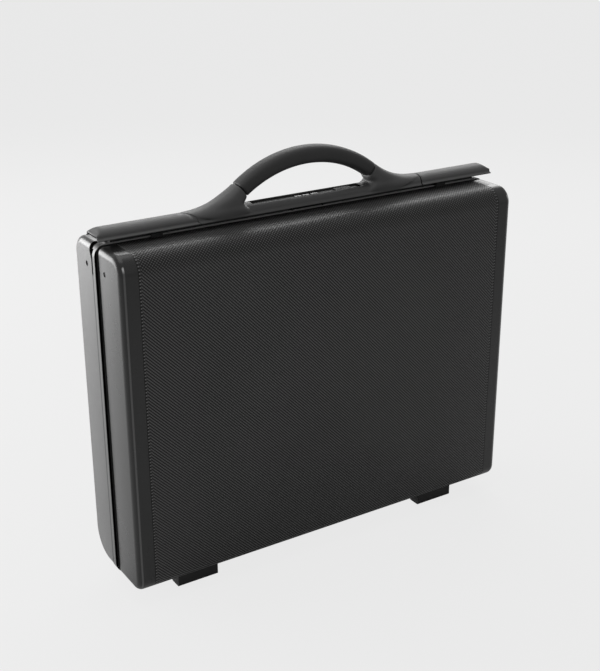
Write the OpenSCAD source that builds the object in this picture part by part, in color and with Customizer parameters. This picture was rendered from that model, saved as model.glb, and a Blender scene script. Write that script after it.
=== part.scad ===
// Hard attache case: two shells hinged along the bottom, a carrying handle,
// two flip-up latches and a three-dial lock on top.
// Millimetres. X is the width, -Y the lid's face, Z up from the floor.

/* [Shells] */
// Width over the end caps
case_w = 455.6; // [440:0.2:480]
// Depth from the lid's face to the base's face
case_d = 104; // [98:1:116]
// Height of the shells from underside to top
shell_h = 346.2; // [320:0.2:380]
// Height of the shells' underside above the floor
shell_lift = 18.6; // [18:0.2:20]
// Thickness of the shells' walls
wall_t = 2.2; // [1.8:0.1:2.4]
// Width of the plain band of each end cap on the front face
cap_band = 17.5; // [15:0.5:24]
// Radius of the end caps' outer edges
cap_r = 6.5; // [5.5:0.25:7.5]
// Radius of the lid's top bend
lid_top_r = 17; // [15:0.5:19]
// Radius of the lid's bottom bend
lid_bottom_r = 14; // [13:0.5:18]
// Radius of the base's top bend
base_top_r = 17; // [14:0.5:22]
// Radius of the base's bottom bend
base_bottom_r = 31; // [28:0.5:34]

/* [Rims] */
// Half width of the base's frame, outside the caps
frame_hw = 230; // [229:0.5:243]
// Height that the frame stands proud of the shells at top and bottom
frame_proud = 1.5; // [1:0.1:2]
// Corner radius of the frame
frame_r = 12; // [10:0.5:13]
// Width of the frame seen at the seam
frame_w = 8.6; // [8.4:0.2:9.4]
// Gap between the lid's rim and the frame
seam_gap = 4; // [3.8:0.1:4.2]
// Depth position of the lid's rim
lid_rim_y = -6.5; // [-6.8:0.1:-6.2]
// Depth of the base frame's leg inside the base
base_leg = 16; // [14:0.5:16]
// Depth of the lid frame's leg inside the lid
lid_leg = 14; // [12:0.5:16]

/* [Feet and hinges] */
// Distance from a foot's outer end to the case's side
foot_edge = 51.3; // [46:0.5:56]
// Length of a foot along the width
foot_w = 45.5; // [40:0.5:50]
// Depth of a lid foot
lid_foot_d = 15.5; // [14:0.5:16]
// Depth position of the lid feet's front face
lid_foot_y = -33.5; // [-34:0.5:-32]
// Depth of a base foot
base_foot_d = 25; // [20:0.5:28]
// Depth position of the base feet's front face
base_foot_y = 8; // [6:0.5:10]
// Middle of a hinge from the middle of the case
hinge_x = 76; // [70:1:82]
// Length of a hinge
hinge_len = 80; // [70:1:88]
// Height of the hinge axis above the floor
hinge_z = 13; // [12.8:0.1:13.2]
// Radius of a hinge knuckle
knuckle_r = 3.2; // [3:0.05:3.3]
// Radius of the hinge pins
hinge_pin_r = 1.4; // [1.2:0.05:1.6]

/* [Handle] */
// Height of the centre of the grip's arc
grip_z = 296; // [286:1:300]
// Radius of the grip's centre line
grip_r = 124.9; // [122:0.1:134]
// Thickness of the grip across the arc
grip_t = 16; // [14:0.5:18]
// Width of the grip in depth
grip_w = 21; // [19:0.5:22]
// Angle of the arc that the soft grip covers
grip_angle = 75; // [70:1:78]
// Thickness of the steel strap in the grip
core_t = 3; // [2:0.25:4]
// Width of the steel strap in the grip
core_w = 13; // [10:0.5:14]
// Half length of the handle's moulded mount
mount_hw = 138; // [136:0.5:142]
// Slant of the left end of the mount towards its front edge
slant_left = 13; // [6:0.5:14]
// Slant of the right end of the mount towards its front edge
slant_right = 2; // [1:0.5:10]

/* [Top rail] */
// Height of the rail's dome above the frame
rail_h = 15.1; // [14.6:0.1:15.8]
// Half the width of the rail's dome, above its flared foot
dome_hw = 11.4; // [11:0.1:12]
// Half width of the rail at its lower edge
rail_hw = 14; // [13.5:0.1:15]
// Shadow gap between the frame and the rail's lower edge
rail_gap = 5.8; // [5.6:0.1:6]
// Wall of the mount and of the latch levers
rail_wall = 1.8; // [1.5:0.1:2]

/* [Latches] */
// Distance from the middle to a lever's outer end
lever_end = 230; // [228:0.5:232]
// Radius of the lever's rounded end
lever_end_r = 12; // [10:0.5:13]
// Depth position of the levers' hinge axis
latch_y = 10.5; // [10.3:0.1:10.8]
// Height of the levers' hinge axis above the rail's lower edge
latch_up = 1.7; // [1.5:0.1:1.9]
// Radius of the latch pins
latch_pin_r = 1; // [0.8:0.05:1.2]
// Distance from the middle to the middle of a strike
strike_x = 168; // [162:1:172]
// Width of a strike
strike_w = 12; // [8:0.5:14]

/* [Lock] */
// Radius of the dials over their corners
dial_r = 4.8; // [4.6:0.1:4.9]
// Width of one dial
dial_w = 7.4; // [6:0.2:8]
// Distance from one dial to the next
dial_pitch = 9.5; // [9:0.1:10]
// Height of the dials' tops above the panel
dial_show = 1.2; // [0.8:0.1:1.6]
// Radius of the dials' shaft
dial_shaft_r = 1.5; // [1.2:0.1:1.8]
// Length of the recess in the mount's top
recess_l = 130; // [120:1:134]
// Width of the recess
recess_w = 13; // [12:0.5:14]
// Depth of the recess below the dome's top
recess_d = 3.2; // [3:0.1:3.4]
// Thickness of the lock panel
panel_t = 1.4; // [1.2:0.1:1.6]
// Travel of the lock slide
slide_travel = 5; // [3:0.5:5]
// Length of the slide's button
button_l = 18; // [12:1:20]
// Position of the button's middle
button_x = 44; // [42:1:46]

/* [Inside] */
// Thickness of the fabric-covered lining
lining_t = 1.2; // [1:0.1:1.6]
// Width of the file pocket
pocket_w = 376; // [300:2:390]
// Height of the file pocket
pocket_h = 196; // [150:2:210]
// Thickness of the file pocket when it is empty
pocket_d = 9; // [7:0.5:10]

/* [Hidden] */

$fn = 64;
far = 600;
run_fit = 0.05;          // radial clearance of a pin that turns
slip = 0.1;              // gap between pieces that are fitted together
clear = 0.4;             // gap between pieces that pass each other
black = "#1b1b1c";
dark = "#262728";
satin = "#3a3b3c";
steel = "#9a9c9e";
cloth = "#4a4744";

shell_bot = shell_lift;
shell_top = shell_lift + shell_h;
half_w = case_w / 2;
half_d = case_d / 2;
cap_u = half_w - cap_band;          // where an end cap meets the skin
frame_bot = shell_bot - frame_proud;
frame_top = shell_top + frame_proud;
frame_y = lid_rim_y + seam_gap;     // front of the base's frame
base_rim_y = frame_y + frame_w;     // rim of the base's shell

// Insets from the shells' outside, used by every ring inside them
lip_t = 1.6;                        // splice lip of the caps
leg_in = wall_t + lip_t + 0.2;      // outside of the frames' legs
leg_t = 1.8;
ring_in = leg_in + leg_t + 2.7;     // inside of the frames
tongue_in = leg_in + 0.2;
tongue_t = 1.6;
groove_side = 0.8;                  // room beside the tongue in its groove
groove_d = 3.4;
seal_t = 1.2;
flange_t = 1;
tongue_d = 5;
lining_in = leg_in + leg_t + 0.4;

rail_bot = frame_top + rail_gap;
rail_top = frame_top + rail_h;
flare_z = rail_bot + 3.2;           // where the dome's foot starts to flare
toe_z = rail_bot + 0.7;             // top of the foot's upright edge

hinge_y = (lid_rim_y + frame_y) / 2;
leaf_t = 1.2;
pin_clear_r = hinge_pin_r + run_fit;

latch_z = rail_bot + latch_up;
strike_z = frame_top + 0.8;         // underside of a strike's bar
strike_t = 1.2;
strike_y = 3.5;                     // rear end of a strike's bar
strike_lip = 1.4;                   // height of the catch at the bar's end
claw_z = strike_z + strike_t + strike_lip + clear;
latch_knuckle_r = latch_pin_r + 1.2;
foot_x = half_w - foot_edge - foot_w;
lug_w = 8;
lug_x = [mount_hw + 12, (mount_hw + lever_end) / 2 - 6, lever_end - 24];

panel_z = rail_top - recess_d;      // top of the lock panel
dial_z = panel_z + dial_show - dial_r;
dial_slot = sqrt(dial_r * dial_r - pow(panel_z - panel_t - dial_z, 2)) + clear;
chassis_t = 1.2;
chassis_hw = 1.5 * dial_pitch + 4.4;
chassis_y = [frame_y + 1, 4.5];
chassis_z = frame_top - 1;          // the lock stands in a shallow pocket of the frame
bar_z = rail_bot + 1.4;             // underside of the lock bars
bar_t = 1.6;
bar_y = 6;                          // depth position of the lock bars
bar_w = 1.4;
bar_tip = mount_hw + 1.2;
web_x = mount_hw + 2;               // locking web of a lever
web_t = 1.6;
rocker_x = 26;
rocker_swing = asin(slide_travel / 2 / bar_y);
screw_x = [mount_hw - 62, mount_hw - 26];
plate_hw = lever_end - 16;          // half length of the rail plate
plate_wide = mount_hw - 16;         // half length of its wide middle
plate_y = frame_y + 0.8;
screw_y = 3.3;
card_x = [-150, -40];               // left sides of the card pockets
card_w = 96;
card_h = 56;
card_d = 5;
cloth_t = 1;
loop_x = 96;                        // first pen loop
loop_step = 22;
loop_r = 6.5;
loop_h = 26;
rib_x = [mount_hw - 68, mount_hw - 20];
rib_t = 4;
joint_gap = 0.8;                    // gap between the mount and a lever
joint_room = 1.6;                   // extra gap where the lever's end swings back
post_t = [0, 0.2, 0.42, 0.62, 0.8, 1];

// Lid stays: a four-bar with equal opposite sides, so both links turn with the lid
stay_b = [22, 40];                  // hinge axis to the base stud
stay_l = [-12, 44];                 // hinge axis to the lid stud
stud_b = [hinge_y, hinge_z] + stay_b;
stud_l = [hinge_y, hinge_z] + stay_l;
stay_j = [hinge_y, hinge_z] + stay_b + stay_l;
link_t = 2;
link_r = 4.5;
stud_r = 2.5;
base_link_x = half_w - ring_in - 3.1;
lid_link_x = base_link_x - link_t - 0.6;
rivet_y = [-17.5, 22.5];
rivet_z = shell_top - 22.8;
rivet_r = 2.4;

// Outline in depth and height, run along the width from x0
module along_x(len, x0) {
  translate([x0, 0, 0]) rotate([90, 0, 90]) linear_extrude(len) children();
}

// Outline in width and height, run backwards from y0
module along_y(len, y0) {
  translate([0, y0 + len, 0]) rotate([90, 0, 0]) linear_extrude(len) children();
}

module block(x, y, z) {
  translate([x[0], y[0], z[0]]) cube([x[1] - x[0], y[1] - y[0], z[1] - z[0]]);
}

module bar_x(r, x0, x1, y, z) {
  translate([x0, y, z]) rotate([0, 90, 0]) cylinder(r = r, h = x1 - x0);
}

module both_sides() {
  children();
  mirror([1, 0, 0]) children();
}

// Rounded upright rectangle, inset from the shells' outside
module ring_outline(inset, r) {
  hw = half_w - inset;
  z0 = shell_bot + inset;
  z1 = shell_top - inset;
  round_rect(hw, z0, z1, r);
}

module round_rect(hw, z0, z1, r) {
  translate([-hw + r, z0]) square([2 * (hw - r), z1 - z0]);
  translate([-hw, z0 + r]) square([2 * hw, z1 - z0 - 2 * r]);
  for (sx = [-1, 1], z = [z0 + r, z1 - r]) translate([sx * (hw - r), z]) circle(r);
}

// Outline of one half of the case, drawn from d0 out to its face
module half_outline(rt, rb, inset, d0) {
  d1 = half_d - inset;
  zt = shell_top - inset;
  zb = shell_bot + inset;
  zm = (zt + zb) / 2;
  r1 = rt - inset;
  r2 = rb - inset;
  translate([d0, zm]) square([d1 - r1 - d0, zt - zm]);
  translate([d0, zb]) square([d1 - r2 - d0, zm - zb]);
  translate([d0, zb + r2]) square([d1 - d0, zt - zb - r1 - r2]);
  intersection() {
    union() {
      translate([d1 - r1, zt - r1]) circle(r1);
      translate([d1 - r2, zb + r2]) circle(r2);
    }
    translate([d0, zb]) square([d1 - d0, zt - zb]);
  }
}

// Section of an end cap: band, splice lip under the skin, and rounded edge
module cap_section() {
  lip_w = 6;
  root = 2;
  translate([-wall_t, cap_u]) square([wall_t, half_w - cap_r - cap_u]);
  translate([-wall_t - slip - lip_t, cap_u - lip_w]) square([lip_t, lip_w + root]);
  translate([-wall_t - slip - lip_t, cap_u]) square([lip_t + slip + wall_t / 2, root]);
  intersection() {
    translate([-cap_r, half_w - cap_r]) difference() {
      circle(cap_r);
      circle(cap_r - wall_t);
    }
    translate([-cap_r, half_w - cap_r]) square(cap_r + 1);
  }
  translate([-cap_r - 2, half_w - wall_t]) square([2, wall_t]);
}

// Runs a section round the outline of one half, from rim to rim
module half_sweep(rt, rb, d0) {
  translate([d0, shell_top, 0]) rotate([90, 0, 90])
    linear_extrude(half_d - rt - d0) children();
  translate([half_d - rt, shell_top - rt, 0])
    rotate_extrude(angle = 90) translate([rt, 0]) children();
  translate([half_d, shell_top - rt, 0]) rotate([90, 0, 0])
    linear_extrude(shell_h - rt - rb) children();
  translate([half_d - rb, shell_bot + rb, 0]) rotate([0, 0, -90])
    rotate_extrude(angle = 90) translate([rb, 0]) children();
  translate([half_d - rb, shell_bot, 0]) rotate([90, 0, -90])
    linear_extrude(half_d - rb - d0) children();
}

// End cap of one half, right side, face towards +Y
module end_cap(rt, rb, rim, hole_d) {
  difference() {
    rotate([90, 0, 90]) {
      half_sweep(rt, rb, rim) cap_section();
      translate([0, 0, half_w - wall_t]) linear_extrude(wall_t)
        half_outline(rt, rb, cap_r, rim);
    }
    bar_x(rivet_r + slip, half_w - cap_r, half_w + 1, hole_d, rivet_z);
  }
}

module skin(rt, rb, rim) {
  hw = cap_u - slip;
  along_x(2 * hw, -hw) difference() {
    half_outline(rt, rb, 0, rim);
    half_outline(rt, rb, wall_t, rim - 1);
  }
}

module lining(rt, rb, rim, stud) {
  hw = half_w - lining_in;
  difference() {
    along_x(2 * hw, -hw) half_outline(rt, rb, lining_in, rim);
    along_x(2 * (hw - lining_t), -hw + lining_t)
      half_outline(rt, rb, lining_in + lining_t, rim - 1);
    both_sides() bar_x(link_r + clear, hw - lining_t - 1, half_w, stud[0], stud[1]);
  }
}

module lid_side() {
  mirror([0, 1, 0]) children();
}

lid_rim_d = -lid_rim_y;

module lid_skin() {
  color(black) lid_side() skin(lid_top_r, lid_bottom_r, lid_rim_d);
}

module lid_cap_right() {
  color(dark) lid_side() end_cap(lid_top_r, lid_bottom_r, lid_rim_d, -rivet_y[0]);
}

module lid_cap_left() {
  mirror([1, 0, 0]) lid_cap_right();
}

module base_skin() {
  color(black) skin(base_top_r, base_bottom_r, base_rim_y);
}

module base_cap_right() {
  color(dark) end_cap(base_top_r, base_bottom_r, base_rim_y, rivet_y[1]);
}

module base_cap_left() {
  mirror([1, 0, 0]) base_cap_right();
}

module lid_frame() {
  color(black) difference() {
    union() {
      along_y(flange_t, lid_rim_y) difference() {
        ring_outline(0.4, cap_r);
        ring_outline(ring_in, 4);
      }
      along_y(lid_leg, lid_rim_y - lid_leg) difference() {
        ring_outline(leg_in, 3);
        ring_outline(leg_in + leg_t, 1);
      }
      along_y(tongue_d, lid_rim_y + flange_t) difference() {
        ring_outline(tongue_in, 3);
        ring_outline(tongue_in + tongue_t, 2);
      }
    }
    both_sides() block([strike_x - strike_w / 2 - clear, strike_x + strike_w / 2 + clear],
      [lid_rim_y + flange_t, far], [shell_top - ring_in, far]);
  }
}

module screw_holes(r, z0, z1) {
  for (x = screw_x, s = [-1, 1]) translate([s * x, screw_y, z0]) cylinder(r = r, h = z1 - z0);
}

module base_frame() {
  color(satin) difference() {
    union() {
      along_y(frame_w, frame_y) difference() {
        round_rect(frame_hw, frame_bot, frame_top, frame_r);
        ring_outline(ring_in, 4);
      }
      along_y(base_leg, base_rim_y) difference() {
        ring_outline(leg_in, 3);
        ring_outline(leg_in + leg_t, 1);
      }
    }
    along_y(groove_d, frame_y) difference() {
      ring_outline(tongue_in - groove_side, 4);
      ring_outline(tongue_in + tongue_t + groove_side, 2);
    }
    block([-chassis_hw - 0.2, chassis_hw + 0.2], [chassis_y[0] - 0.2, chassis_y[1] + 0.2],
      [chassis_z, frame_top + 1]);
    screw_holes(2, shell_top - ring_in - 1, frame_top + 1);
  }
}

module rim_seal() {
  color("#101010") along_y(seal_t, frame_y + groove_d - seal_t) difference() {
    ring_outline(tongue_in - groove_side + slip, 4);
    ring_outline(tongue_in + tongue_t + groove_side - slip, 2);
  }
}

module lid_lining() {
  color(cloth) lid_side()
    lining(lid_top_r, lid_bottom_r, lid_rim_d, [-stud_l[0], stud_l[1]]);
}

module base_lining() {
  color(cloth) lining(base_top_r, base_bottom_r, base_rim_y, stud_b);
}

lining_y = -(half_d - lining_in - lining_t);   // inner face of the lid's lining
board_y = lining_y + 1.5;
pocket_z = shell_bot + 22;

module organiser_board() {
  color("#3b3836") along_y(1.4, lining_y + slip)
    round_rect(pocket_w / 2 + 14, pocket_z - 4, shell_top - 30, 8);
}

module file_pocket() {
  wall = 1.2;
  hw = pocket_w / 2;
  y0 = board_y + slip;
  color("#2f2d2c") difference() {
    block([-hw, hw], [y0, y0 + pocket_d], [pocket_z, pocket_z + pocket_h]);
    block([-hw + wall, hw - wall], [y0 + wall, y0 + pocket_d - wall], [pocket_z + wall, far]);
  }
}

module card_pockets() {
  y0 = board_y + slip;
  z0 = pocket_z + pocket_h + 14;
  color("#2f2d2c") for (x = card_x) difference() {
    block([x, x + card_w], [y0, y0 + card_d], [z0, z0 + card_h]);
    block([x + cloth_t, x + card_w - cloth_t], [y0 + cloth_t, y0 + card_d - cloth_t],
      [z0 + cloth_t, far]);
  }
}

module pen_loops() {
  y0 = board_y + slip;
  color("#2f2d2c") for (i = [0 : 2])
    translate([loop_x + i * loop_step, y0 + loop_r, pocket_z + pocket_h + 24]) difference() {
      cylinder(r = loop_r, h = loop_h);
      translate([0, 0, -1]) cylinder(r = loop_r - cloth_t, h = loop_h + 2);
    }
}

// Foot with two screw wells, drawn from its front face
module foot(y0, d, top) {
  difference() {
    translate([foot_x, 0, 0]) rotate([90, 0, 90]) linear_extrude(foot_w)
      union() {
        translate([y0 + 2, 0]) square([d - 4, top]);
        translate([y0, 2]) square([d, top - 2]);
        for (y = [y0 + 2, y0 + d - 2]) translate([y, 2]) circle(2);
      }
    foot_wells(y0, d) translate([0, 0, -1]) cylinder(r = 3.4, h = 9);
    foot_wells(y0, d) cylinder(r = 1.8, h = top + 1);
  }
}

module foot_wells(y0, d) {
  for (x = [foot_x + 10, foot_x + foot_w - 10]) translate([x, y0 + d / 2, 0]) children();
}

module foot_screw_pair(y0, d, top) {
  both_sides() foot_wells(y0, d) {
    translate([0, 0, 6]) cylinder(r = 3.2, h = 2);
    translate([0, 0, 7]) cylinder(r = 1.7, h = top - 7);
  }
}

module lid_foot_right() {
  color(black) foot(lid_foot_y, lid_foot_d, shell_bot);
}

module lid_foot_left() {
  mirror([1, 0, 0]) lid_foot_right();
}

module lid_foot_screws() {
  color(steel) foot_screw_pair(lid_foot_y, lid_foot_d, shell_bot);
}

module base_foot_right() {
  color(black) difference() {
    foot(base_foot_y, base_foot_d, shell_bot + 6);
    along_x(2 * cap_u, -cap_u) half_outline(base_top_r, base_bottom_r, 0, -1);
  }
}

module base_foot_left() {
  mirror([1, 0, 0]) base_foot_right();
}

module base_foot_screws() {
  color(steel) foot_screw_pair(base_foot_y, base_foot_d, shell_bot);
}

module cap_rivet(y) {
  both_sides() bar_x(rivet_r, half_w - leg_in, half_w - 0.8, y, rivet_z);
}

module lid_cap_rivets() {
  color("#0c0c0c") cap_rivet(rivet_y[0]);
}

module base_cap_rivets() {
  color("#0c0c0c") cap_rivet(rivet_y[1]);
}

knuckle_w = hinge_len / 5;

// Knuckles of one leaf, first and step in fifths of the hinge
module knuckles(first) {
  for (i = [first : 2 : 4])
    translate([hinge_x - hinge_len / 2 + i * knuckle_w + 0.15, 0, 0]) children();
}

module hinge_bore() {
  bar_x(pin_clear_r, 0, half_w, hinge_y, hinge_z);
}

module hinge_base_leaf_right() {
  w = knuckle_w - 0.3;
  z0 = frame_bot - leaf_t;
  color(dark) difference() {
    union() {
      block([hinge_x - hinge_len / 2, hinge_x + hinge_len / 2],
        [hinge_y + knuckle_r + clear, base_rim_y - 0.2], [z0, frame_bot]);
      knuckles(0) bar_x(knuckle_r, 0, w, hinge_y, hinge_z);
      knuckles(0) block([0, w], [hinge_y, hinge_y + knuckle_r + 1], [z0, frame_bot]);
    }
    hinge_bore();
  }
}

module hinge_base_leaf_left() {
  mirror([1, 0, 0]) hinge_base_leaf_right();
}

module hinge_lid_leaf_right() {
  w = knuckle_w - 0.3;
  web_y = hinge_y - knuckle_r;
  color(dark) difference() {
    union() {
      block([hinge_x - hinge_len / 2, hinge_x + hinge_len / 2],
        [web_y - 17, web_y + 1.2], [shell_bot - leaf_t, shell_bot]);
      knuckles(1) bar_x(knuckle_r, 0, w, hinge_y, hinge_z);
      knuckles(1) block([0, w], [web_y, web_y + 1.2], [hinge_z, shell_bot]);
    }
    hinge_bore();
  }
}

module hinge_lid_leaf_left() {
  mirror([1, 0, 0]) hinge_lid_leaf_right();
}

module hinge_pin_right() {
  color(steel) bar_x(hinge_pin_r, hinge_x - hinge_len / 2, hinge_x + hinge_len / 2,
    hinge_y, hinge_z);
}

module hinge_pin_left() {
  mirror([1, 0, 0]) hinge_pin_right();
}

// Strike: a plate on the lid's flange, bent back over the frame and up again
module strike_right() {
  x = [strike_x - strike_w / 2, strike_x + strike_w / 2];
  y0 = lid_rim_y + flange_t;
  z1 = strike_z + strike_t;
  color(steel) {
    block(x, [y0, y0 + strike_t], [shell_top - ring_in + 1, z1]);
    block(x, [y0, strike_y], [strike_z, z1]);
    block(x, [strike_y - strike_t, strike_y], [strike_z, z1 + strike_lip]);
  }
}

module strike_left() {
  mirror([1, 0, 0]) strike_right();
}

// Dark plate between the frame and everything on top, with the rocker's stud
module rail_plate() {
  color("#0e0e0e") translate([rocker_x, 0, rail_bot - 1]) cylinder(r = 1.5, h = 3);
  color("#0e0e0e") difference() {
    union() {
      block([-plate_hw, plate_hw], [plate_y, base_rim_y], [frame_top, rail_bot]);
      block([-plate_wide, plate_wide], [base_rim_y, 11], [shell_top, rail_bot]);
    }
    block([-chassis_hw - 1, chassis_hw + 1], [-far, chassis_y[1] + 0.5], [frame_top - 1, far]);
    both_sides() block([strike_x - strike_w / 2 - 2, strike_x + strike_w / 2 + 2],
      [-far, strike_y + 1], [frame_top - 1, far]);
    screw_holes(2, frame_top - 1, rail_bot + 1);
  }
}

function mix(a, b, t) = a + (b - a) * t;
function curve(a, b, c, d, n) = [for (i = [0 : n]) let (t = i / n, s = 1 - t)
  s * s * s * a + 3 * s * s * t * b + 3 * s * t * t * c + t * t * t * d];

// Section of the top rail: a dome whose foot flares out to the full width
module rail_outline(inset) {
  low = inset > 0 ? rail_bot - 1 : rail_bot;
  top = [0, rail_top - inset];
  waist = [dome_hw - inset, flare_z - inset * 0.4];
  toe = [rail_hw - inset, toe_z - inset * 0.6];
  dome = curve(top, [waist[0] * 0.62, top[1]], [waist[0], mix(waist[1], top[1], 0.5)], waist, 8);
  foot = curve(waist, [waist[0], mix(waist[1], toe[1], 0.6)],
    [mix(waist[0], toe[0], 0.5), toe[1] + 0.4], toe, 4);
  side = concat(dome, [for (i = [1 : 4]) foot[i]], [[toe[0], low]]);
  polygon(concat(side, [for (i = [len(side) - 1 : -1 : 1]) [-side[i][0], side[i][1]]]));
}

// Plan of the handle mount, with its ends slanted towards the front
module mount_plan() {
  w = rail_hw + 2;
  polygon([
    [-mount_hw, w], [-mount_hw, 0], [-mount_hw + slant_left, -rail_hw],
    [-mount_hw + slant_left, -w], [mount_hw - slant_right, -w],
    [mount_hw - slant_right, -rail_hw], [mount_hw, 0], [mount_hw, w]
  ]);
}

// Outer and inner edges of a post, from the grip's end to the mount's end
function on_arc(r, a) = [r * sin(a), grip_z + r * cos(a)];
post_out = on_arc(grip_r + grip_t / 2, grip_angle / 2);
post_in = on_arc(grip_r - grip_t / 2, grip_angle / 2);
post_end = [mount_hw + 1, rail_top + 0.2];
post_foot = [post_in[0] + 38, rail_bot + 1];
post_swell = 2.4;                   // extra half width in the middle of a post
function outer_edge(t) =
  let (x = mix(post_out[0], post_end[0], t), s = 1 - t)
  [x, post_end[1] + (post_out[1] - post_end[1]) * pow(s, 2.2)];
function inner_edge(t) =
  let (x = mix(post_in[0], post_foot[0], pow(t, 1.7)), s = 1 - t)
  [x, post_foot[1] + (post_in[1] - post_foot[1]) * pow(s, 1.5)];
function bow(a, p) = sign(a) * pow(abs(a), p);
ring_n = 28;
function post_ring(t) =
  let (o = outer_edge(t), i = inner_edge(t), c = (o + i) / 2, e = (o - i) / 2,
       hw = mix(grip_w / 2, dome_hw - 0.4, t) + post_swell * sin(180 * t))
  [for (k = [0 : ring_n - 1]) let (a = 360 * k / ring_n, u = bow(cos(a), 0.75), v = bow(sin(a), 0.75))
    [c[0] + e[0] * u, hw * v, c[1] + e[1] * u]];

module post() {
  rings = [for (t = post_t) post_ring(t)];
  n = len(rings);
  points = [for (r = rings) each r];
  sides = [for (i = [0 : n - 2], k = [0 : ring_n - 1])
    let (a = i * ring_n + k, b = i * ring_n + (k + 1) % ring_n) each
    [[a, b, a + ring_n], [b, b + ring_n, a + ring_n]]];
  first = [for (k = [ring_n - 1 : -1 : 0]) k];
  last = [for (k = [0 : ring_n - 1]) (n - 1) * ring_n + k];
  polyhedron(points, concat(sides, [first, last]), convexity = 4);
}

module arc_sweep(angle) {
  translate([0, 0, grip_z]) rotate([90, 0, 0]) rotate([0, 0, 90 - angle / 2])
    rotate_extrude(angle = angle, $fn = 180) translate([grip_r, 0]) children();
}

module core_section(gap) {
  square([core_t + 2 * gap, core_w + 2 * gap], center = true);
}

core_angle = grip_angle + 8;

module handle_core() {
  color(steel) arc_sweep(core_angle) core_section(0);
}

module handle_grip() {
  r = grip_t / 2 - 0.4;
  color("#232425") difference() {
    arc_sweep(grip_angle) {
      square([grip_t - 2 * r, grip_w], center = true);
      square([grip_t, grip_w - 2 * r], center = true);
      for (u = [-1, 1], v = [-1, 1])
        translate([u * (grip_t / 2 - r), v * (grip_w / 2 - r)]) circle(r);
    }
    arc_sweep(grip_angle + 2) core_section(slip);
  }
}

module handle_mount() {
  color("#2a2b2c") {
    difference() {
      intersection() {
        union() {
          along_x(2 * mount_hw, -mount_hw) rail_outline(0);
          both_sides() post();
        }
        translate([0, 0, rail_bot]) linear_extrude(far) mount_plan();
      }
      along_x(2 * mount_hw + 2, -mount_hw - 1) rail_outline(rail_wall);
      block([-recess_l / 2, recess_l / 2], [-recess_w / 2, recess_w / 2],
        [panel_z - panel_t, far]);
      arc_sweep(core_angle + 0.4) core_section(slip);
    }
    difference() {
      intersection() {
        along_x(2 * mount_hw, -mount_hw) rail_outline(rail_wall / 2);
        for (x = screw_x, s = [-1, 1]) translate([s * x, screw_y, rail_bot])
          cylinder(r = 3.4, h = rail_h);
      }
      screw_holes(1.3, rail_bot - 1, rail_bot + 4);
    }
    intersection() {
      along_x(2 * mount_hw, -mount_hw) rail_outline(0);
      for (x = rib_x, s = [-1, 1], v = [-1, 1])
        translate([s * x - rib_t / 2, v > 0 ? bar_y - 1.2 : -rail_hw, rail_bot])
          cube([rib_t, rail_hw - bar_y + 1.2, bar_z - 0.1 - rail_bot]);
    }
  }
}

module mount_screws() {
  color(steel) {
    screw_holes(1.3, shell_top - ring_in - 1, rail_bot + 3.8);
    screw_holes(3, shell_top - ring_in - 1.8, shell_top - ring_in);
  }
}

module lock_panel() {
  color("#4b4c4d") difference() {
    block([-recess_l / 2 + slip, recess_l / 2 - slip],
      [-recess_w / 2 + slip, recess_w / 2 - slip], [panel_z - panel_t, panel_z]);
    for (i = [-1 : 1]) block(
      [i * dial_pitch - dial_w / 2 - 0.3, i * dial_pitch + dial_w / 2 + 0.3],
      [-dial_slot, dial_slot], [panel_z - panel_t - 1, panel_z + 1]);
    block([button_x - 2.3, button_x + 2.3 + slide_travel], [-2.3, 2.3],
      [panel_z - panel_t - 1, panel_z + 1]);
  }
}

module lock_chassis() {
  plate = [chassis_hw - chassis_t, chassis_hw];
  color(steel) difference() {
    union() {
      block([-chassis_hw, chassis_hw], chassis_y, [chassis_z, chassis_z + chassis_t]);
      both_sides() block(plate, chassis_y, [chassis_z, panel_z - panel_t - slip]);
      both_sides() block(plate, [-4, chassis_y[1]], [frame_top + 0.2, panel_z - panel_t - slip]);
    }
    bar_x(dial_shaft_r + run_fit, -chassis_hw - 1, chassis_hw + 1, 0, dial_z);
  }
}

module dial_shaft() {
  color(steel) bar_x(dial_shaft_r, -chassis_hw - 0.6, chassis_hw + 0.6, 0, dial_z);
}

module dial_spring() {
  z = [chassis_z + chassis_t, chassis_z + chassis_t + 0.4];
  color(steel) {
    block([-chassis_hw + 2, chassis_hw - 2], [chassis_y[0], chassis_y[0] + 1.6], z);
    for (i = [-1 : 1]) block([i * dial_pitch - 2, i * dial_pitch + 2], chassis_y, z);
  }
}

module dial(i) {
  color("#c9c6bd") difference() {
    translate([i * dial_pitch - dial_w / 2, 0, dial_z]) rotate([0, 90, 0])
      rotate([0, 0, 18]) cylinder(r = dial_r, h = dial_w, $fn = 10);
    bar_x(dial_shaft_r + run_fit, -far, far, 0, dial_z);
  }
}

module lock_rocker() {
  z0 = rail_bot + slip;
  t = 1.1;
  color(steel) difference() {
    translate([rocker_x, 0, 0]) rotate([0, 0, -rocker_swing]) {
      translate([0, 0, z0]) cylinder(r = 3.2, h = t);
      translate([-1.3, -bar_y, z0]) cube([2.6, 2 * bar_y, t]);
      for (s = [-1, 1]) translate([0, s * bar_y, z0]) {
        cylinder(r = 1.3, h = t);
        cylinder(r = 1, h = t + 1.9);
      }
    }
    translate([rocker_x, 0, z0 - 1]) cylinder(r = 1.5 + run_fit, h = t + 2);
  }
}

// Fork that takes a pin of the rocker, on the +Y side
module fork(x) {
  difference() {
    translate([x - 3, bar_y - 2.6, bar_z]) cube([6, 3.8, bar_t]);
    translate([x - 1.2, bar_y - 2, bar_z - 1]) cube([2.4, 4, bar_t + 2]);
  }
}

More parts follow.
